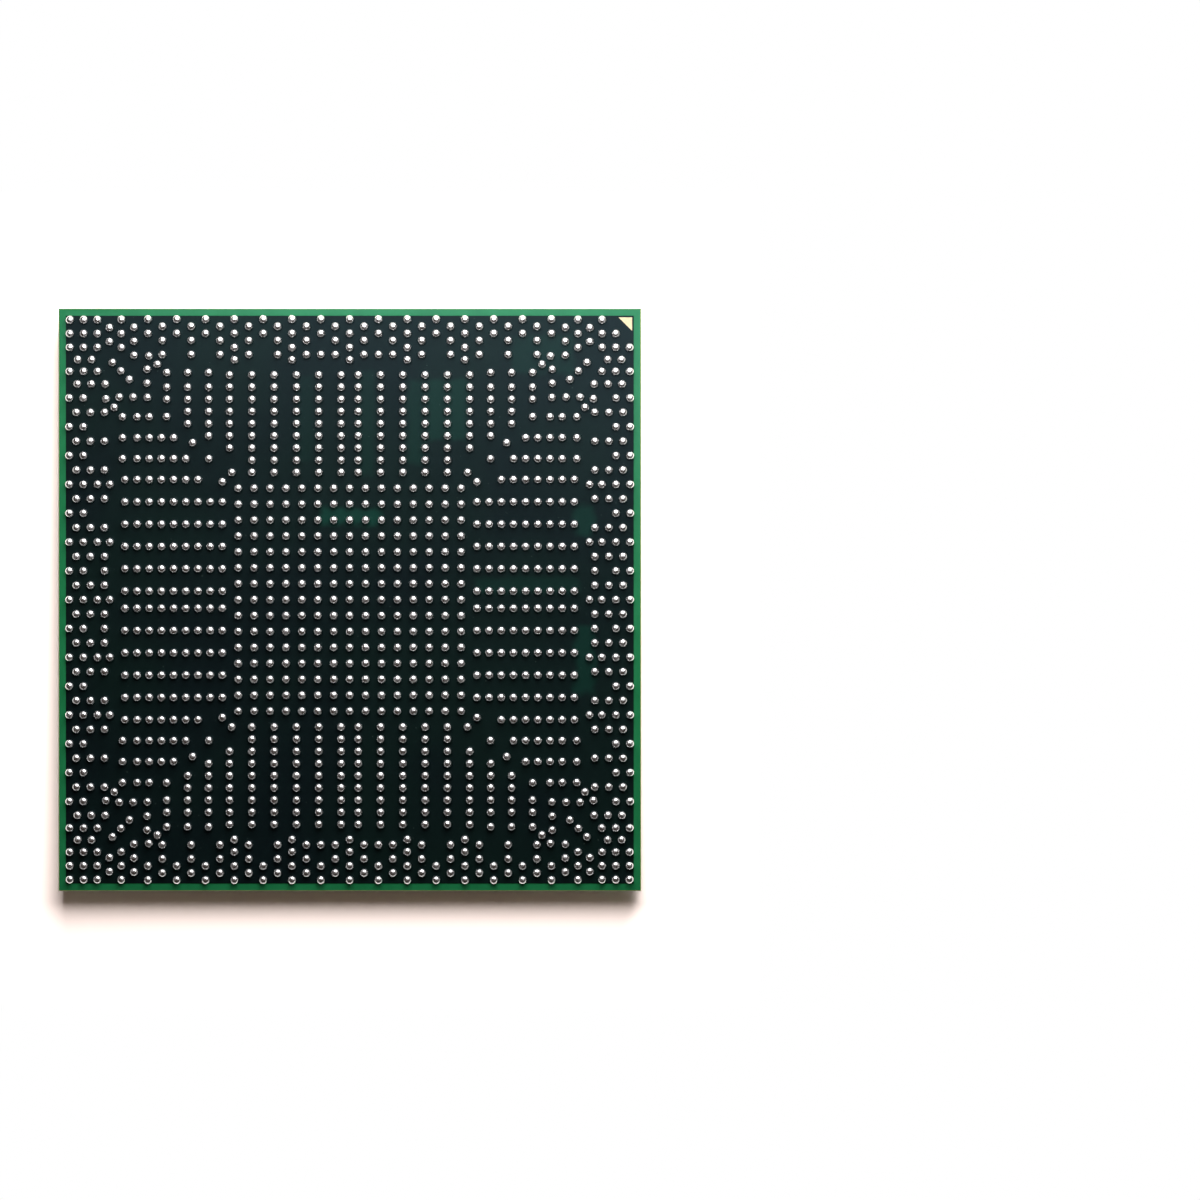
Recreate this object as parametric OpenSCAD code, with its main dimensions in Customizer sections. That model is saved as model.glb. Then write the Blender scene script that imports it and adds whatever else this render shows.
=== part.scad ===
// Flip-chip ball grid array package, lying on the back of its bare die with
// its solder balls up. The origin is on the surface that it lies on, under the
// middle of the package. X and Y run along the sides of the laminate, and the
// corner at +X and +Y is the pin-one corner.

/* [Substrate] */
// Side of the square laminate
substrate_w = 34; // [33.8:0.1:36]
// Thickness of the laminate with its solder masks
substrate_t = 1.17; // [0.8:0.01:1.6]
// Width of the border of bare laminate around the copper plane
border_w = 0.44; // [0.3:0.01:0.46]
// Thickness of the copper plane and the mask that covers it
plane_t = 0.025; // [0.02:0.005:0.05]

/* [Pin-one markers] */
// Leg of the triangular marker on the ball side
marker_leg = 0.8; // [0.5:0.05:0.9]
// Gap from the legs of that marker to the edges of the copper plane
marker_inset = 0.09; // [0.05:0.01:0.15]
// Thickness of the gold-plated copper of both markers
marker_t = 0.015; // [0.01:0.005:0.02]
// Leg of the triangular marker on the die side
die_marker_leg = 1.2; // [0.6:0.1:2]
// Gap from the legs of that marker to the edges of the laminate
die_marker_inset = 0.6; // [0.3:0.1:2]

/* [Solder balls] */
// Diameter of a ball
ball_d = 0.5; // [0.44:0.01:0.54]
// Height of a ball above its land
ball_h = 0.42; // [0.32:0.01:0.43]

/* [Middle grid of balls] */
// Pitch of the square grid in the middle
grid_pitch = 0.928; // [0.8:0.002:0.928]
// Balls along each side of that grid
grid_n = 15; // [5:2:15]

/* [Columns of balls] */
// Distance from the package's middle line to the nearest column
column_first = 0.5; // [0.4:0.01:0.55]
// Pitch of the columns that run towards an edge
column_pitch = 1.3; // [1.2:0.01:1.3]
// Pitch of the three shortened columns beside the corner
short_column_pitch = 1.22; // [1.1:0.01:1.24]
// Distance from the package's middle line to the innermost ball of a column
row_first = 7.42; // [7.38:0.01:7.5]
// Pitch of the balls along a column
row_pitch = 0.71; // [0.66:0.01:0.72]
// Extra step to the last ball of a shortened column
last_step = 0.14; // [0:0.01:0.2]

/* [Rows of balls along the edges] */
// Distance from the laminate's edge to the outermost row
edge_inset = 0.66; // [0.64:0.01:0.7]
// Pitch of the balls along an edge row
edge_pitch = 1.68; // [1.6:0.01:1.68]
// Distance between neighbouring edge rows
edge_step = 0.41; // [0.4:0.01:0.43]
// Distance from the laminate's edge to the innermost edge row
inner_row_inset = 3.02; // [2.9:0.01:3.04]

/* [Corner balls] */
// Distance from the laminate's edges to the corner ball
corner_inset = 0.69; // [0.68:0.01:0.72]
// Pitch of the square block of balls in each corner
corner_pitch = 0.8; // [0.76:0.01:0.81]
// Pitch of the short files of balls beside that block
file_pitch = 0.81; // [0.76:0.01:0.82]
// Step between the three close balls on a corner's diagonal
close_step = 0.495; // [0.46:0.005:0.5]

/* [Die] */
// Length of the silicon die, along X
die_l = 10.8; // [8:0.1:14]
// Width of the silicon die, along Y
die_w = 9.06; // [8:0.02:13]
// Thickness of the silicon die
die_t = 0.78; // [0.7:0.01:0.85]
// Height of the solder bumps between the die and the laminate
bump_h = 0.08; // [0.06:0.01:0.1]
// Margin of the die that has no bumps
bump_margin = 0.2; // [0.1:0.05:0.5]

/* [Underfill] */
// Width of the epoxy fillet, measured out from the die's wall
fillet_w = 1.2; // [0.8:0.05:1.5]
// Height of the fillet, measured along the die's wall from the laminate
fillet_h = 0.62; // [0.4:0.01:0.68]
// Radius of the fillet's hollow face
fillet_r = 1.6; // [1.2:0.1:4]

/* [Capacitors] */
// Length of a capacitor's ceramic body
capacitor_l = 0.96; // [0.8:0.02:1.2]
// Width of a capacitor's ceramic body
capacitor_w = 0.46; // [0.3:0.02:0.6]
// Height of a capacitor's ceramic body
capacitor_h = 0.4; // [0.3:0.02:0.46]
// Length of the metal cap at each end of a capacitor
terminal_l = 0.24; // [0.15:0.01:0.3]
// Thickness of that metal cap
terminal_t = 0.02; // [0.01:0.005:0.03]
// Thickness of the solder under a metal cap
solder_t = 0.03; // [0.02:0.005:0.05]
// Height of the solder fillet at a capacitor's end
solder_fillet = 0.2; // [0.1:0.01:0.25]
// Distance from the die's wall to the middle of the nearest capacitors
capacitor_gap = 3; // [2.4:0.1:4]
// Pitch of the capacitors along the die's walls
capacitor_pitch = 2.4; // [1.6:0.1:2.4]
// Capacitors beside each long wall of the die
long_side_n = 4; // [1:1:4]
// Capacitors beside each short wall of the die
short_side_n = 3; // [1:1:3]

/* [Hidden] */

$fn = 32;

// Heights of the stack, from the surface that the die lies on
under_z = die_t + bump_h;
top_z = under_z + substrate_t;
ball_z = top_z + plane_t;

// Half of the laminate's side, from which the edge and corner balls are set out
half_w = substrate_w / 2;

// Each side's columns: how many are full, and the first row in each column
full_columns = 6;
column_starts = [0, 0, 0, 0, 0, 2, 3, 4, 6];
// Rows in the longest column
column_n = 9;
// Step towards the middle of the odd ball beside the middle grid's corner
odd_ball_step = 0.13;

// Balls on the middle grid's outer diagonals, as distances from the middle lines
inner_diagonal = [8.21, 9.15, 10.67];
// First of the three close balls, as a distance from the laminate's edges
close_first = 3.17;
// Short files of balls: distance of the file, then of its first ball, from
// the two edges of the corner, and how many balls the file has
corner_files = [[3, 1.15, 2], [3.69, 0.68, 3], [4.43, 1.13, 3], [5.19, 3.57, 2]];
// Single balls inside those files, as distances from the corner's two edges
corner_singles = [[5.29, 2.79], [5.79, 3.28]];
// Last ball on a corner's diagonal, as a distance from the edges
last_diagonal = 5.21;

// ---- Positions of the balls ----

// Distance of column k from the side's middle line
function column_x(k) =
    k < full_columns
        ? column_first + k * column_pitch
        : column_x(full_columns - 1) + (k - full_columns + 1) * short_column_pitch;

// Distance of row i from the package's middle line, in column k
function row_y(i, k) =
    row_first + i * row_pitch + (k >= full_columns && i == column_n - 1 ? last_step : 0);

// The balls of one side's columns, to both sides of its middle line
function column_balls() = [
    for (side = [-1, 1], k = [0 : len(column_starts) - 1])
        for (i = [column_starts[k] : column_n - 1])
            [side * column_x(k), row_y(i, k)],
    for (side = [-1, 1])
        [side * (column_x(full_columns - 1) - odd_ball_step), row_y(0, 0)],
];

// One edge row: its distance from the edge, its first ball and the spacing
// of its balls in pitches, and how many balls it has on each side
function edge_row(inset, first, spacing, n) = [
    for (i = [0 : n - 1], side = [-1, 1])
        let (x = (first + i * spacing) * edge_pitch)
        if (x > 0 || side > 0)
            [side * x, half_w - inset],
];

// The balls of one side's edge rows
function edge_balls() = [
    for (r = [0 : 2 : 2]) each edge_row(edge_inset + r * edge_step, 0, 1, 8),
    for (r = [1 : 2 : 5]) each edge_row(edge_inset + r * edge_step, 0.5, 1, 7),
    each edge_row(edge_inset + 4 * edge_step, 0, 2, 3),
    each edge_row(edge_inset + 5 * edge_step, 1, 1, 1),
    each edge_row(inner_row_inset, 0, 2, 3),
];

// The square block in the pin-one corner, without its outermost balls
function corner_balls(left_out) = [
    for (i = [0 : 2], j = [0 : 2])
        if (i + j >= left_out)
            [for (n = [i, j]) half_w - corner_inset - n * corner_pitch],
];

// The balls between a corner's block, its edge rows and its columns
function fan_balls() = [
    for (d = inner_diagonal) [d, d],
    [half_w - last_diagonal, half_w - last_diagonal],
    for (i = [0 : 2])
        let (d = half_w - close_first - i * close_step)
        [d, d],
    for (f = corner_files, i = [0 : f[2] - 1])
        each both_ways(f[0], f[1] + i * file_pitch),
    for (s = corner_singles)
        each both_ways(s[0], s[1]),
];

// A ball given by its distances from a corner's two edges, and its mirror image
function both_ways(u, v) = [[half_w - u, half_w - v], [half_w - v, half_w - u]];

function grid_balls() = [
    for (i = [0 : grid_n - 1], j = [0 : grid_n - 1])
        [for (n = [i, j]) (n - (grid_n - 1) / 2) * grid_pitch],
];

// ---- Solder balls ----

// A reflowed ball, cut flat where it is soldered to its land
module ball() {
    difference() {
        translate([0, 0, ball_h - ball_d / 2])
            sphere(d = ball_d);
        translate([-ball_d, -ball_d, -2 * ball_d])
            cube(2 * ball_d);
    }
}

// Balls at the given positions, turned about the package's middle
module balls(positions, turn = 0) {
    color("gainsboro")
        rotate([0, 0, turn])
            for (p = positions)
                translate([p.x, p.y, ball_z])
                    ball();
}

// ---- Laminate ----

module substrate() {
    color("seagreen")
        translate([-half_w, -half_w, under_z])
            cube([substrate_w, substrate_w, substrate_t]);
}

// Right-angled triangle whose corner points to +X and +Y
module marker_outline(leg) {
    polygon([[0, 0], [-leg, 0], [0, -leg]]);
}

// Ball-side plane, with a window for the marker
module copper_plane() {
    plane_w = substrate_w - 2 * border_w;
    corner = plane_w / 2 - marker_inset;
    color("darkslategray")
        translate([0, 0, top_z])
            linear_extrude(plane_t)
                difference() {
                    square(plane_w, center = true);
                    translate([corner, corner])
                        marker_outline(marker_leg);
                }
}

module pin_one_marker() {
    corner = half_w - border_w - marker_inset;
    color("goldenrod")
        translate([corner, corner, top_z])
            linear_extrude(marker_t)
                marker_outline(marker_leg);
}

// ---- Die side ----

// Turns its children over, so that their +Z points away from the laminate
module under_substrate() {
    translate([0, 0, under_z])
        mirror([0, 0, 1])
            children();
}

module die_side_marker() {
    corner = half_w - die_marker_inset;
    color("goldenrod")
        under_substrate()
            translate([corner, corner, 0])
                linear_extrude(marker_t)
                    marker_outline(die_marker_leg);
}

module die() {
    color("dimgray")
        translate([-die_l / 2, -die_w / 2, 0])
            cube([die_l, die_w, die_t]);
}

// Field of the solder bumps, as one plate
module bump_field() {
    size = [die_l - 2 * bump_margin, die_w - 2 * bump_margin, bump_h];
    translate([-size.x / 2, -size.y / 2, 0])
        cube(size);
}

module flip_chip_bumps() {
    color("silver")
        under_substrate()
            bump_field();
}

// Hollow section of the epoxy fillet, from the die's wall at x = 0
module fillet_section() {
    steps = 8;
    chord = norm([fillet_w, fillet_h]);
    reach = sqrt(fillet_r * fillet_r - chord * chord / 4);
    centre = [fillet_w, fillet_h] / 2 + [fillet_h, fillet_w] * reach / chord;
    from = atan2(-centre.y, fillet_w - centre.x);
    to = atan2(fillet_h - centre.y, -centre.x);
    sweep = (to - from + 540) % 360 - 180;
    polygon([
        [0, 0],
        for (i = [0 : steps])
            centre + fillet_r * [cos(from + sweep * i / steps), sin(from + sweep * i / steps)],
    ]);
}

// The fillet along one wall of the die and around the corner after it
module fillet_side(wall, depth) {
    translate([depth / 2, wall / 2, 0])
        rotate([90, 0, 0])
            linear_extrude(wall)
                fillet_section();
    translate([depth / 2, wall / 2, 0])
        rotate_extrude(angle = 90)
            fillet_section();
}

module underfill() {
    color("darkkhaki")
        under_substrate() {
            difference() {
                translate([-die_l / 2, -die_w / 2, 0])
                    cube([die_l, die_w, bump_h]);
                bump_field();
            }
            for (turn = [0, 180])
                rotate([0, 0, turn]) {
                    fillet_side(die_w, die_l);
                    rotate([0, 0, 90])
                        fillet_side(die_l, die_w);
                }
        }
}

// ---- Capacitors ----

// Places its children at every capacitor, on the laminate's die side
module at_capacitors() {
    under_substrate()
        for (side = [-1, 1]) {
            for (i = [0 : long_side_n - 1])
                translate([
                    (i - (long_side_n - 1) / 2) * capacitor_pitch,
                    side * (die_w / 2 + capacitor_gap),
                    0
                ])
                    rotate([0, 0, 90])
                        children();
            for (i = [0 : short_side_n - 1])
                translate([
                    side * (die_l / 2 + capacitor_gap),
                    (i - (short_side_n - 1) / 2) * capacitor_pitch,
                    0
                ])
                    children();
        }
}

// Ceramic body, standing on its solder and the lower wall of its caps
module capacitor_body() {
    translate([-capacitor_l / 2, -capacitor_w / 2, solder_t + terminal_t])
        cube([capacitor_l, capacitor_w, capacitor_h]);
}

module capacitor_bodies() {
    color("peru")
        at_capacitors()
            capacitor_body();
}

// Metal caps over both ends of a body
module capacitor_terminals() {
    cap_w = capacitor_w + 2 * terminal_t;
    cap_h = capacitor_h + 2 * terminal_t;
    color("lightgray")
        at_capacitors()
            for (end = [0, 180])
                rotate([0, 0, end])
                    difference() {
                        translate([capacitor_l / 2 - terminal_l, -cap_w / 2, solder_t])
                            cube([terminal_l + terminal_t, cap_w, cap_h]);
                        capacitor_body();
                    }
}

// Solder under each cap, with a fillet up its end
module capacitor_solder() {
    inner = capacitor_l / 2 - terminal_l;
    end_x = capacitor_l / 2 + terminal_t;
    solder_w = capacitor_w + 2 * terminal_t;
    color("silver")
        at_capacitors()
            for (end = [0, 180])
                rotate([0, 0, end])
                    translate([0, solder_w / 2, 0])
                        rotate([90, 0, 0])
                            linear_extrude(solder_w)
                                polygon([
                                    [inner, 0],
                                    [end_x + solder_fillet, 0],
                                    [end_x, solder_t + solder_fillet],
                                    [end_x, solder_t],
                                    [inner, solder_t]
                                ]);
}

// ---- Nodes ----

substrate();
copper_plane();
pin_one_marker();
die_side_marker();
die();
flip_chip_bumps();
underfill();
capacitor_bodies();
capacitor_terminals();
capacitor_solder();
balls(grid_balls());  // balls_grid
balls(column_balls(), 0);  // balls_columns_north
balls(column_balls(), -90);  // balls_columns_east
balls(column_balls(), 180);  // balls_columns_south
balls(column_balls(), 90);  // balls_columns_west
balls(edge_balls(), 0);  // balls_edge_north
balls(edge_balls(), -90);  // balls_edge_east
balls(edge_balls(), 180);  // balls_edge_south
balls(edge_balls(), 90);  // balls_edge_west
balls(fan_balls(), 0);  // balls_fan_ne
balls(fan_balls(), 90);  // balls_fan_nw
balls(fan_balls(), 180);  // balls_fan_sw
balls(fan_balls(), -90);  // balls_fan_se
balls(corner_balls(2), 0);  // balls_corner_ne
balls(corner_balls(0), 90);  // balls_corner_nw
balls(corner_balls(0), 180);  // balls_corner_sw
balls(corner_balls(0), -90);  // balls_corner_se
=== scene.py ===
"""A flip-chip ball grid array package lying on its bare die, ball side up.

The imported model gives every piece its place. This script dresses it: smooth, slightly
uneven solder balls, a laminate with broken arrises, and a procedural material for
every piece. Lengths are in metres, and MM turns millimetres into metres.
"""

import math
import random

import bpy
import numpy as np
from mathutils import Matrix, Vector

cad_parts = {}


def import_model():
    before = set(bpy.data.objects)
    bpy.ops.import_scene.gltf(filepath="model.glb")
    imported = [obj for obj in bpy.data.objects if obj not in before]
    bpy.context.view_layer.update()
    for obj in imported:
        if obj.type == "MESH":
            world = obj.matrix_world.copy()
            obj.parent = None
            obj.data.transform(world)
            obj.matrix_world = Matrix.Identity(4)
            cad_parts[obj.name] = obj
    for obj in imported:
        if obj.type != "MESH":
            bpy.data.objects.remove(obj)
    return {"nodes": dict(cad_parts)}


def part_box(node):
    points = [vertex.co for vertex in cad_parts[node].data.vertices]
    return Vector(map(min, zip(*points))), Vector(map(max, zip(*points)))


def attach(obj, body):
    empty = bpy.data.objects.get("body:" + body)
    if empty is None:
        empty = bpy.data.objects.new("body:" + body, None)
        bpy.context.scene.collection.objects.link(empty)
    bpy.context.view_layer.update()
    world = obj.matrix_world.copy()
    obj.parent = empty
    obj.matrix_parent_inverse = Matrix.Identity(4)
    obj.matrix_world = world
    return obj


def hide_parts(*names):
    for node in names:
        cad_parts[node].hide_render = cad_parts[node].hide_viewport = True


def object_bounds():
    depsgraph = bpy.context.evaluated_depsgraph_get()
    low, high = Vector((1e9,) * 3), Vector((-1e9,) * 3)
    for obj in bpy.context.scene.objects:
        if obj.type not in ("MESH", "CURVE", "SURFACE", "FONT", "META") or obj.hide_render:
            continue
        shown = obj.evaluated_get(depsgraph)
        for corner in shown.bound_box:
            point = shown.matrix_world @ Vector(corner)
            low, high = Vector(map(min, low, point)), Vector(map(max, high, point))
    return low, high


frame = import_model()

MM = 0.001
NODES = frame["nodes"]
CAD_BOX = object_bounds()
BALL_NODES = sorted(name for name in NODES if name.startswith("balls_"))

# Ball meshes: how finely they are cut, how far a ball may be undersize and out of round as
# parts of its radius, half its height as a part of its radius, and how flat its crown is
# (2 would be an ellipsoid, and more is flatter)
BALL_SEGMENTS = 28
BALL_RINGS = 10
BALL_SHRINK = 0.01
BALL_WOBBLE = 0.005
BALL_LOBES = (2, 3, 4)
BALL_SQUAT = 0.9
BALL_CROWN = 3.1
BALL_SEED = 1254
SAME_LEVEL = 1e-7

# Laminate: its mask thins and falls away over the border, down to a rubbed arris
BORDER_FALL = 0.045 * MM
BORDER_WIDTH = 0.40 * MM
BORDER_STEPS = 12
ARRIS = 0.045 * MM
CREASE = math.radians(20)

# The photographed frame: its width at the ball side, and its middle from the package's middle
VIEW_WIDTH = 70.0 * MM
VIEW_MIDDLE = (14.594 * MM, -0.023 * MM)
CAMERA_HEIGHT = 350 * MM
SENSOR = 36.0

# The one lamp: a big soft window beyond the +Y side
LAMP_PLACE = (11 * MM, 50 * MM, 55.5 * MM)
LAMP_TARGET = (0, 0, 0)
LAMP_WIDTH = 76 * MM
LAMP_HEIGHT = 92 * MM
LAMP_RADIANCE = 5.4

# The room: plain white up to a little above the horizon, and dim and warm from there on.
# The heights are the upward part of a direction one unit long
ROOM_WHITE_TO = 0.10
ROOM_DIM_FROM = 0.18

# The table: how far it reaches from its middle, and how far off the package's edge it begins
# to turn white and is plain white
TABLE_REACH = 2.0
WHITE_FROM = 3.5 * MM
WHITE_BY = 7.0 * MM


# ---- Node helpers ----


def new_tree(name):
    """A material with an empty node tree, and the tree."""
    material = bpy.data.materials.new(name)
    material.use_nodes = True
    material.node_tree.nodes.clear()
    return material, material.node_tree


def add(tree, kind, inputs=None, **settings):
    """A node with its settings, and its inputs set or linked."""
    made = tree.nodes.new(kind)
    for key, value in settings.items():
        setattr(made, key, value)
    for key, value in (inputs or {}).items():
        if isinstance(value, bpy.types.NodeSocket):
            tree.links.new(value, made.inputs[key])
        else:
            made.inputs[key].default_value = value
    return made


def math_node(tree, operation, first, second=0.0, third=0.0):
    node = add(tree, "ShaderNodeMath", {0: first, 1: second, 2: third}, operation=operation)
    return node.outputs[0]


def in_mm(tree):
    """The piece's own coordinates in millimetres."""
    own = add(tree, "ShaderNodeTexCoord").outputs["Object"]
    scaled = add(tree, "ShaderNodeVectorMath", {0: own, 1: (1 / MM,) * 3}, operation="MULTIPLY")
    return scaled.outputs[0]


def noise(tree, coords, per_mm, detail=3.0, rough=0.55):
    """Noise from 0 to 1, with so many grains to a millimetre."""
    inputs = {"Vector": coords, "Scale": per_mm, "Detail": detail, "Roughness": rough}
    return add(tree, "ShaderNodeTexNoise", inputs).outputs["Fac"]


def spread(tree, value, low, high, out_low=0.0, out_high=1.0, smooth=False):
    """value stretched from low..high to out_low..out_high and clamped."""
    inputs = {"Value": value, "From Min": low, "From Max": high, "To Min": out_low, "To Max": out_high}
    kind = "SMOOTHSTEP" if smooth else "LINEAR"
    return add(tree, "ShaderNodeMapRange", inputs, interpolation_type=kind).outputs["Result"]


def blend_colour(tree, amount, first, second):
    node = add(tree, "ShaderNodeMix", data_type="RGBA")
    for key, value in {0: amount, 6: first, 7: second}.items():
        if isinstance(value, bpy.types.NodeSocket):
            tree.links.new(value, node.inputs[key])
        else:
            node.inputs[key].default_value = value
    return node.outputs[2]


def bump(tree, height, depth_mm, normal=None):
    inputs = {"Height": height, "Distance": depth_mm * MM, "Strength": 1.0}
    if normal is not None:
        inputs["Normal"] = normal
    return add(tree, "ShaderNodeBump", inputs).outputs["Normal"]


def finish_material(tree, **inputs):
    """A Principled surface. Keyword names are its sockets, with _ for a space."""
    named = {key.replace("_", " "): value for key, value in inputs.items()}
    shader = add(tree, "ShaderNodeBsdfPrincipled", named)
    add(tree, "ShaderNodeOutputMaterial", {"Surface": shader.outputs[0]})


def rgb(red, green, blue):
    return (red, green, blue, 1.0)


# ---- Materials ----

# Places where the copper stops under the mask, so that the green laminate shows through:
# middle x, middle y, width and height in millimetres, and how clearly each shows
PLANE_WINDOWS = [
    (0.05, 4.85, 3.6, 0.9, 0.9),
    (1.0, 10.2, 1.0, 6.2, 0.25),
    (3.9, 10.4, 1.1, 4.8, 0.35),
    (5.7, 11.1, 2.4, 3.6, 0.45),
    (-2.6, 10.6, 1.1, 5.0, 0.15),
    (11.3, 14.3, 3.6, 2.2, 0.3),
    (13.7, 4.6, 1.2, 1.8, 0.5),
    (13.7, -3.5, 1.2, 3.8, 0.5),
    (10.4, 0.85, 6.0, 1.0, 0.3),
]
# How soft their sides are, and how far noise moves them, both in millimetres
WINDOW_EDGE = 0.25
WINDOW_WANDER = 0.8

# The masks' gloss is slightly blue-green
MASK_GLOSS = (0.55, 0.85, 1.0)


def window_amount(tree, coords):
    """How far the mask shows laminate instead of copper, from 0 to 1."""
    wander = add(tree, "ShaderNodeTexNoise", {"Vector": coords, "Scale": 0.9, "Detail": 2.0})
    centred = {0: wander.outputs["Color"], 1: (0.5,) * 3}
    shift = add(tree, "ShaderNodeVectorMath", centred, operation="SUBTRACT").outputs[0]
    shifted = {0: shift, 1: (WINDOW_WANDER,) * 3, 2: coords}
    moved = add(tree, "ShaderNodeVectorMath", shifted, operation="MULTIPLY_ADD")
    parts = add(tree, "ShaderNodeSeparateXYZ", {0: moved.outputs[0]}).outputs
    total = None
    for x, y, width, height, clear in PLANE_WINDOWS:
        sides = []
        for along, middle, size in ((parts[0], x, width), (parts[1], y, height)):
            off = math_node(tree, "ABSOLUTE", math_node(tree, "SUBTRACT", along, middle))
            reach = size / 2
            sides.append(spread(tree, off, reach - WINDOW_EDGE, reach + WINDOW_EDGE, 1.0, 0.0, smooth=True))
        inside = math_node(tree, "MULTIPLY", math_node(tree, "MULTIPLY", *sides), clear)
        total = inside if total is None else math_node(tree, "MAXIMUM", total, inside)
    return total


def plane_mask():
    """Dark solder mask over copper: a soft sheen, large faint clouds and fine specks."""
    material, tree = new_tree("plane_mask")
    coords = in_mm(tree)
    cloud = spread(tree, noise(tree, coords, 0.16, 2.0, 0.4), 0.35, 0.65, smooth=True)
    dark = blend_colour(tree, cloud, rgb(0.0024, 0.0050, 0.0058), rgb(0.0026, 0.0076, 0.0062))
    grain = spread(tree, noise(tree, coords, 5.0, 3.0), 0.3, 0.7)
    dark = blend_colour(tree, math_node(tree, "MULTIPLY", grain, 0.3), dark, rgb(0.0030, 0.0100, 0.0090))
    colour = blend_colour(tree, window_amount(tree, coords), dark, rgb(0.0036, 0.0330, 0.0220))
    specks = spread(tree, noise(tree, coords, 7.0, 1.0), 0.80, 0.82)
    colour = blend_colour(tree, math_node(tree, "MULTIPLY", specks, 0.4), colour, rgb(0.10, 0.15, 0.13))
    rough = spread(tree, noise(tree, coords, 1.2, 3.0), 0.3, 0.7, 0.28, 0.32)
    finish_material(tree, Base_Color=colour, Roughness=rough, IOR=1.5, Specular_IOR_Level=0.14,
                    Specular_Tint=rgb(*MASK_GLOSS))
    return material


def laminate():
    """Green mask on both faces, and the sawn edge of the layers on the sides."""
    material, tree = new_tree("laminate")
    coords = in_mm(tree)
    low, high = (corner.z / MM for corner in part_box("substrate"))
    tint = spread(tree, noise(tree, coords, 0.5, 4.0), 0.3, 0.7)
    green = blend_colour(tree, tint, rgb(0.009, 0.144, 0.046), rgb(0.013, 0.178, 0.059))
    threads = []
    for direction in ("X", "Y"):
        wave = {"Vector": coords, "Scale": 0.6, "Distortion": 1.2}
        threads.append(add(tree, "ShaderNodeTexWave", wave, bands_direction=direction).outputs["Fac"])
    cloth = math_node(tree, "MULTIPLY", *threads)
    green = blend_colour(tree, math_node(tree, "MULTIPLY", cloth, 0.05), green, rgb(0.016, 0.205, 0.075))

    height = add(tree, "ShaderNodeSeparateXYZ", {0: coords}).outputs[2]
    skin = 0.06
    skin_blur = 0.01
    build_up = 0.22
    build_up_blur = 0.02
    middle = (low + high) / 2
    from_middle = math_node(tree, "ABSOLUTE", math_node(tree, "SUBTRACT", height, middle))
    half = (high - low) / 2
    fibre_place = add(tree, "ShaderNodeMapping", {"Vector": coords, "Scale": (1.0, 1.0, 9.0)}).outputs[0]
    fibre = spread(tree, noise(tree, fibre_place, 2.2, 5.0, 0.7), 0.3, 0.7)
    core = blend_colour(tree, fibre, rgb(0.30, 0.27, 0.13), rgb(0.46, 0.43, 0.24))
    layers = blend_colour(tree, fibre, rgb(0.20, 0.17, 0.08), rgb(0.29, 0.25, 0.13))
    in_layers = spread(tree, from_middle, half - build_up - build_up_blur, half - build_up)
    in_skin = spread(tree, from_middle, half - skin - skin_blur, half - skin)
    sawn = blend_colour(tree, in_layers, core, layers)
    sawn = blend_colour(tree, in_skin, sawn, green)

    normal = add(tree, "ShaderNodeNewGeometry").outputs["True Normal"]
    facing = math_node(tree, "ABSOLUTE", add(tree, "ShaderNodeSeparateXYZ", {0: normal}).outputs[2])
    arris = spread(tree, facing, 0.1, 0.3)
    face = spread(tree, facing, 0.85, 0.95)
    colour = blend_colour(tree, arris, sawn, rgb(0.40, 0.50, 0.20))
    colour = blend_colour(tree, face, colour, green)
    rough = spread(tree, face, 0.0, 1.0, 0.72, 0.32)
    relief = bump(tree, noise(tree, coords, 3.0, 3.0), 0.006)
    relief = bump(tree, cloth, 0.0015, relief)
    finish_material(tree, Base_Color=colour, Roughness=rough, Normal=relief, IOR=1.5, Specular_IOR_Level=0.24,
                    Specular_Tint=rgb(*MASK_GLOSS))
    return material


def solder_ball():
    """Bright tin alloy with the faintly frosted skin of a reflowed ball."""
    material, tree = new_tree("solder_ball")
    coords = in_mm(tree)
    patch = spread(tree, noise(tree, coords, 3.0, 3.0), 0.3, 0.7)
    colour = blend_colour(tree, patch, rgb(0.82, 0.81, 0.81), rgb(0.92, 0.91, 0.91))
    # Random pinkish-brown patches: a painted warm reflection laid into the balls' colour, not a tint of the
    # metal itself.
    painted_reflection_patch = spread(tree, noise(tree, coords, 1.1, 2.0), 0.55, 0.75)
    colour = blend_colour(tree, math_node(tree, "MULTIPLY", painted_reflection_patch, 0.3), colour, rgb(0.74, 0.69, 0.68))
    rough = spread(tree, noise(tree, coords, 5.0, 2.0), 0.3, 0.7, 0.22, 0.31)
    frost = bump(tree, noise(tree, coords, 7.0, 2.0), 0.0008)
    finish_material(tree, Base_Color=colour, Metallic=1.0, Roughness=rough, Normal=frost)
    return material


def gold():
    """Matt gold plate on copper."""
    material, tree = new_tree("gold")
    coords = in_mm(tree)
    cloud = spread(tree, noise(tree, coords, 2.5, 4.0), 0.3, 0.7)
    colour = blend_colour(tree, cloud, rgb(0.61, 0.52, 0.33), rgb(0.67, 0.59, 0.39))
    rough = spread(tree, noise(tree, coords, 9.0, 3.0), 0.3, 0.7, 0.52, 0.66)
    nodules = bump(tree, noise(tree, coords, 18.0, 2.0), 0.004)
    finish_material(tree, Base_Color=colour, Metallic=0.5, Roughness=rough, Normal=nodules)
    return material


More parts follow.
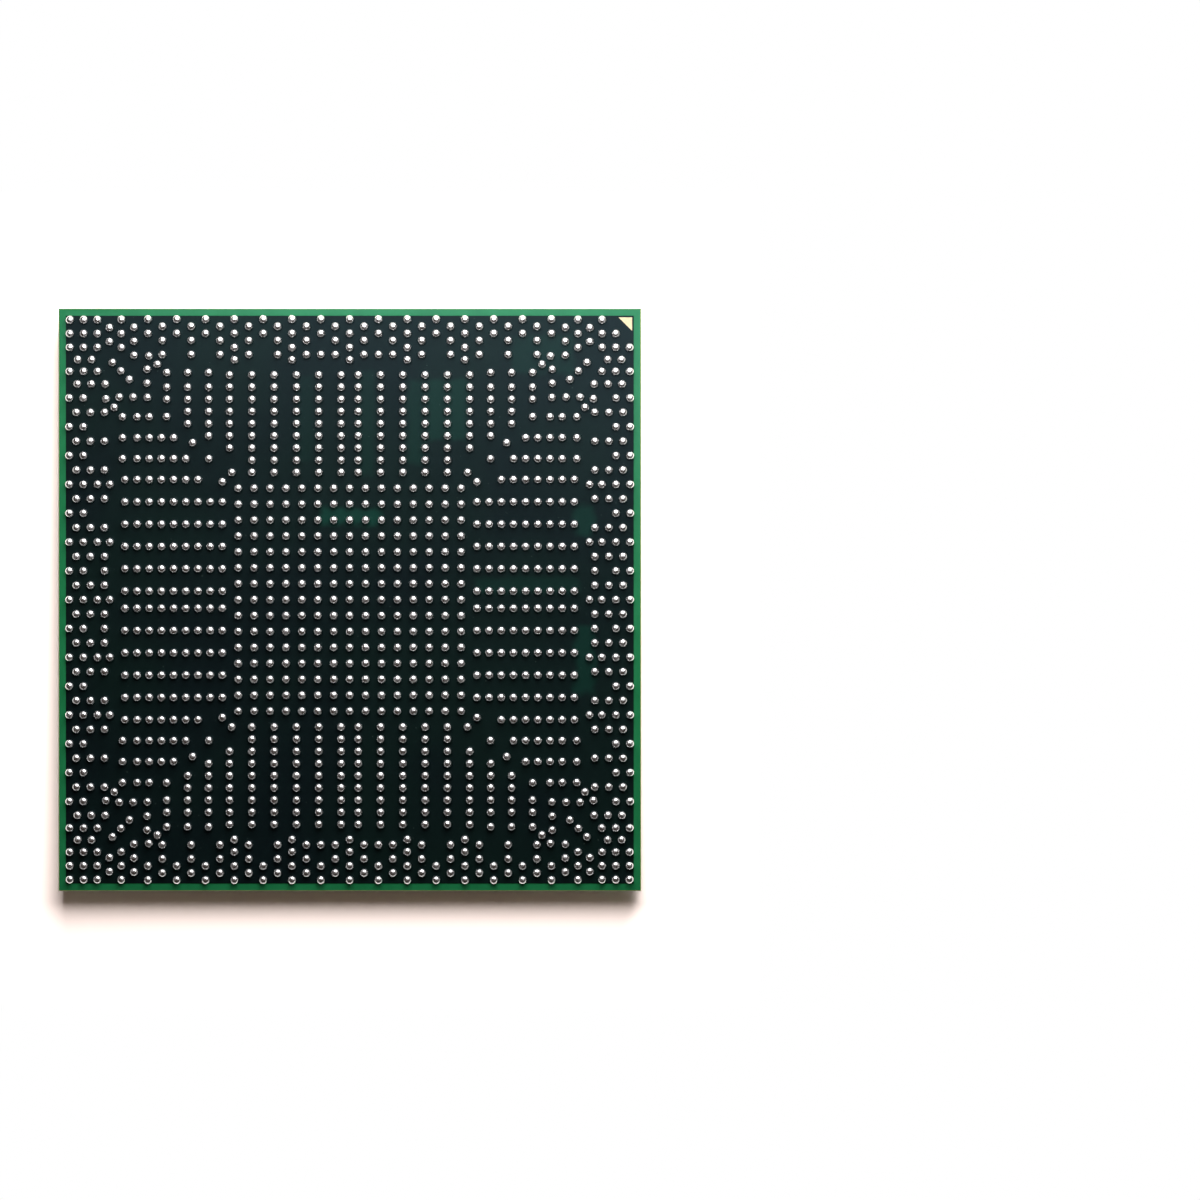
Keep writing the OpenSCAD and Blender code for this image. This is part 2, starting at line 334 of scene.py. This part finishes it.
def silicon():
    """Ground back of the die: dark grey with fine grinding lines."""
    material, tree = new_tree("silicon")
    coords = in_mm(tree)
    stretched = {"Vector": coords, "Rotation": (0, 0, 0.6), "Scale": (24.0, 0.4, 1.0)}
    lines_place = add(tree, "ShaderNodeMapping", stretched).outputs[0]
    lines = noise(tree, lines_place, 1.0, 3.0)
    cloud = spread(tree, noise(tree, coords, 0.3, 3.0), 0.3, 0.7)
    colour = blend_colour(tree, cloud, rgb(0.055, 0.060, 0.072), rgb(0.085, 0.090, 0.105))
    rough = spread(tree, lines, 0.3, 0.7, 0.18, 0.32)
    finish_material(tree, Base_Color=colour, Metallic=0.55, Roughness=rough, Normal=bump(tree, lines, 0.002))
    return material


def underfill():
    """Smooth amber-grey epoxy."""
    material, tree = new_tree("underfill")
    coords = in_mm(tree)
    cloud = spread(tree, noise(tree, coords, 0.8, 4.0), 0.3, 0.7)
    colour = blend_colour(tree, cloud, rgb(0.115, 0.092, 0.048), rgb(0.185, 0.150, 0.080))
    rough = spread(tree, noise(tree, coords, 3.0, 3.0), 0.3, 0.7, 0.16, 0.34)
    flow = bump(tree, noise(tree, coords, 1.4, 3.0), 0.03)
    finish_material(tree, Base_Color=colour, Roughness=rough, Normal=flow, IOR=1.52)
    return material


def ceramic():
    """Fired ceramic of a chip capacitor."""
    material, tree = new_tree("ceramic")
    coords = in_mm(tree)
    speck = spread(tree, noise(tree, coords, 12.0, 4.0), 0.3, 0.7)
    colour = blend_colour(tree, speck, rgb(0.33, 0.20, 0.115), rgb(0.45, 0.29, 0.17))
    rough = spread(tree, noise(tree, coords, 6.0, 2.0), 0.3, 0.7, 0.48, 0.66)
    finish_material(tree, Base_Color=colour, Roughness=rough, Normal=bump(tree, speck, 0.004))
    return material


def tinned(name, light, rough_low, rough_high):
    """Tin or solder in a small smooth lump."""
    material, tree = new_tree(name)
    coords = in_mm(tree)
    cloud = spread(tree, noise(tree, coords, 5.0, 4.0), 0.3, 0.7)
    dull = [0.82 * part for part in light]
    colour = blend_colour(tree, cloud, rgb(*dull), rgb(*light))
    rough = spread(tree, noise(tree, coords, 9.0, 3.0), 0.3, 0.7, rough_low, rough_high)
    grains = bump(tree, noise(tree, coords, 16.0, 3.0), 0.004)
    finish_material(tree, Base_Color=colour, Metallic=1.0, Roughness=rough, Normal=grains)
    return material


# ---- Pieces ----


def mesh_object(name, verts, faces, material):
    mesh = bpy.data.meshes.new(name)
    mesh.from_pydata(verts, [], faces)
    mesh.materials.append(material)
    mesh.update()
    piece = bpy.data.objects.new(name, mesh)
    bpy.context.scene.collection.objects.link(piece)
    return piece


def stands_for(piece, node):
    """piece takes the place of a CAD node on the one body."""
    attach(piece, "root")
    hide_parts(node)


def ball_tops(node):
    """The top point of every ball in a CAD node: each has its pole at the node's highest level."""
    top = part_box(node)[1].z
    found = {}
    for vertex in NODES[node].data.vertices:
        if vertex.co.z > top - SAME_LEVEL:
            found[(round(vertex.co.x, 6), round(vertex.co.y, 6))] = vertex.co.copy()
    return [found[key] for key in sorted(found)]


def ball_profile(node):
    """Radius and height of a ball in that node, from the node's box and its outermost ball."""
    low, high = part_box(node)
    tall = high.z - low.z
    tops = ball_tops(node)
    radius = high.x - max(top.x for top in tops)
    return radius, tall


def ball_mesh_points(radius, tall, rng):
    """One ball's points round its top point at the origin, a little squat and out of round from reflow."""
    size = radius * (1 - BALL_SHRINK * rng.random())
    half_height = radius * BALL_SQUAT
    cut = math.acos(max(-1.0, (half_height - tall) / half_height))
    waves = []
    for lobes in BALL_LOBES:
        height = rng.uniform(0.3, 1.0) * BALL_WOBBLE / len(BALL_LOBES)
        waves.append((height, lobes, rng.uniform(0, math.tau)))
    points = [(0.0, 0.0, 0.0)]
    for ring in range(1, BALL_RINGS + 1):
        polar = cut * ring / BALL_RINGS
        out, up = math.sin(polar), math.cos(polar)
        for segment in range(BALL_SEGMENTS):
            turn = math.tau * segment / BALL_SEGMENTS
            swell = sum(height * math.sin(lobes * turn + phase) for height, lobes, phase in waves)
            reach = size * (1 - BALL_WOBBLE + swell * out) * out
            level = math.sqrt(max(0.0, 1 - out ** BALL_CROWN)) if up > 0 else up
            points.append((reach * math.cos(turn), reach * math.sin(turn), half_height * (level - 1)))
    return points


def ball_faces(start):
    """A ball's faces: a fan at the top, bands, and one flat face on its land."""
    faces = []
    for segment in range(BALL_SEGMENTS):
        after = (segment + 1) % BALL_SEGMENTS
        faces.append((start, start + 1 + segment, start + 1 + after))
        for ring in range(BALL_RINGS - 1):
            upper = start + 1 + ring * BALL_SEGMENTS
            lower = upper + BALL_SEGMENTS
            faces.append((upper + segment, lower + segment, lower + after, upper + after))
    last = start + 1 + (BALL_RINGS - 1) * BALL_SEGMENTS
    faces.append(tuple(last + segment for segment in reversed(range(BALL_SEGMENTS))))
    return faces


def make_balls(material):
    rng = random.Random(BALL_SEED)
    for node in BALL_NODES:
        radius, tall = ball_profile(node)
        verts, faces = [], []
        for top in ball_tops(node):
            faces += ball_faces(len(verts))
            verts += [tuple(top + Vector(point)) for point in ball_mesh_points(radius, tall, rng)]
        piece = mesh_object(node + "_dressed", verts, faces, material)
        smooth = np.ones(len(piece.data.polygons), dtype=bool)
        smooth[[len(face) > 4 for face in faces]] = False
        piece.data.polygons.foreach_set("use_smooth", smooth)
        stands_for(piece, node)


def border_profile():
    """How far in and how far down from the arris each step of the border lies, from the inside out."""
    steps = []
    for step in range(BORDER_STEPS + 1):
        out = step / BORDER_STEPS
        steps.append((BORDER_WIDTH * (1 - out) + ARRIS, BORDER_FALL * out ** 2))
    return steps + [(0.0, BORDER_FALL + ARRIS)]


def make_laminate(material):
    """The laminate, with the same border on both faces."""
    low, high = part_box("substrate")
    levels = [(low.z + drop, inward) for inward, drop in border_profile()]
    levels += [(high.z - drop, inward) for inward, drop in reversed(border_profile())]
    verts = []
    for z, inward in levels:
        left, right = low.x + inward, high.x - inward
        front, back = low.y + inward, high.y - inward
        verts += [(left, front, z), (right, front, z), (right, back, z), (left, back, z)]
    last = 4 * (len(levels) - 1)
    faces = [(3, 2, 1, 0), (last, last + 1, last + 2, last + 3)]
    for level in range(len(levels) - 1):
        base = 4 * level
        for corner in range(4):
            after = (corner + 1) % 4
            faces.append((base + corner, base + after, base + 4 + after, base + 4 + corner))
    piece = mesh_object("substrate_dressed", verts, faces, material)
    piece.data.shade_smooth()
    piece.data.set_sharp_from_angle(angle=CREASE)
    stands_for(piece, "substrate")


def dress(node, material):
    """Gives a CAD node that keeps its shape its material."""
    slots = NODES[node].data.materials
    slots.clear()
    slots.append(material)


# ---- Surroundings ----


def floor():
    """Pale table. Seen directly or in a reflection, it is bright near the package and plain white beyond."""
    material, tree = new_tree("floor")
    path = add(tree, "ShaderNodeLightPath").outputs
    seen = math_node(tree, "MAXIMUM", path["Is Camera Ray"], path["Is Glossy Ray"])
    seen = math_node(tree, "MAXIMUM", seen, path["Is Transmission Ray"])
    colour = blend_colour(tree, seen, rgb(0.62, 0.60, 0.59), rgb(2.35, 2.02, 1.90))
    near = add(tree, "ShaderNodeBsdfDiffuse", {"Color": colour})
    white = add(tree, "ShaderNodeEmission", {"Color": rgb(1, 1, 1), "Strength": 1.0})
    place = add(tree, "ShaderNodeNewGeometry").outputs["Position"]
    parts = add(tree, "ShaderNodeSeparateXYZ", {0: place}).outputs
    away = math_node(tree, "MAXIMUM", *(math_node(tree, "ABSOLUTE", parts[axis]) for axis in (0, 1)))
    edge = CAD_BOX[1].x
    far = spread(tree, away, edge + WHITE_FROM, edge + WHITE_BY, smooth=True)
    amount = math_node(tree, "MULTIPLY", far, seen)
    shader = add(tree, "ShaderNodeMixShader", {0: amount, 1: near.outputs[0], 2: white.outputs[0]})
    add(tree, "ShaderNodeOutputMaterial", {"Surface": shader.outputs[0]})
    signs = [(-1, -1), (1, -1), (1, 1), (-1, 1)]
    corners = [(TABLE_REACH * across, TABLE_REACH * along, 0) for across, along in signs]
    table = mesh_object("floor", corners, [(0, 1, 2, 3)], material)
    table.location.z = CAD_BOX[0].z


def world():
    """Dim warm room, white below the horizon and in a thin band above it."""
    made = bpy.data.worlds.new("room")
    bpy.context.scene.world = made
    made.use_nodes = True
    tree = made.node_tree
    tree.nodes.clear()
    look = add(tree, "ShaderNodeTexCoord").outputs["Generated"]
    height = add(tree, "ShaderNodeSeparateXYZ", {0: look}).outputs[2]
    band = spread(tree, height, ROOM_WHITE_TO, ROOM_DIM_FROM, 1.0, 0.0, smooth=True)
    colour = blend_colour(tree, band, rgb(0.030, 0.020, 0.016), rgb(1, 1, 1))
    background = add(tree, "ShaderNodeBackground", {"Color": colour, "Strength": 1.0})
    add(tree, "ShaderNodeOutputWorld", {"Surface": background.outputs[0]})


def soft_light(name, place, target, width, height, radiance):
    """A rectangular soft box of that even brightness, which the camera doesn't see."""
    data = bpy.data.lights.new(name, "AREA")
    data.shape = "RECTANGLE"
    data.size = width
    data.size_y = height
    data.energy = radiance * math.pi * width * height
    lamp = bpy.data.objects.new(name, data)
    lamp.location = place
    lamp.rotation_euler = (Vector(target) - Vector(place)).to_track_quat("-Z", "Y").to_euler()
    lamp.visible_camera = False
    bpy.context.scene.collection.objects.link(lamp)


def camera():
    """Straight above, with the package left of the middle as in the frame."""
    data = bpy.data.cameras.new("camera")
    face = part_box("substrate")[1].z
    data.sensor_width = SENSOR
    data.lens = SENSOR * (CAMERA_HEIGHT - face) / VIEW_WIDTH
    data.clip_start = 0.01
    data.clip_end = 10
    eye = bpy.data.objects.new("camera", data)
    eye.location = (*VIEW_MIDDLE, CAMERA_HEIGHT)
    bpy.context.scene.collection.objects.link(eye)
    bpy.context.scene.camera = eye


# ---- Assembly ----

make_laminate(laminate())
make_balls(solder_ball())
dress("copper_plane", plane_mask())
gold_plate = gold()
dress("pin_one_marker", gold_plate)
dress("die_side_marker", gold_plate)
dress("die", silicon())
dress("underfill", underfill())
dress("capacitor_bodies", ceramic())
dress("capacitor_terminals", tinned("tin", (0.78, 0.77, 0.76), 0.3, 0.5))
solder = tinned("solder", (0.72, 0.72, 0.73), 0.2, 0.38)
dress("capacitor_solder", solder)
dress("flip_chip_bumps", solder)

floor()
world()
soft_light("window", LAMP_PLACE, LAMP_TARGET, LAMP_WIDTH, LAMP_HEIGHT, LAMP_RADIANCE)
camera()

bpy.context.scene.view_settings.view_transform = "Standard"
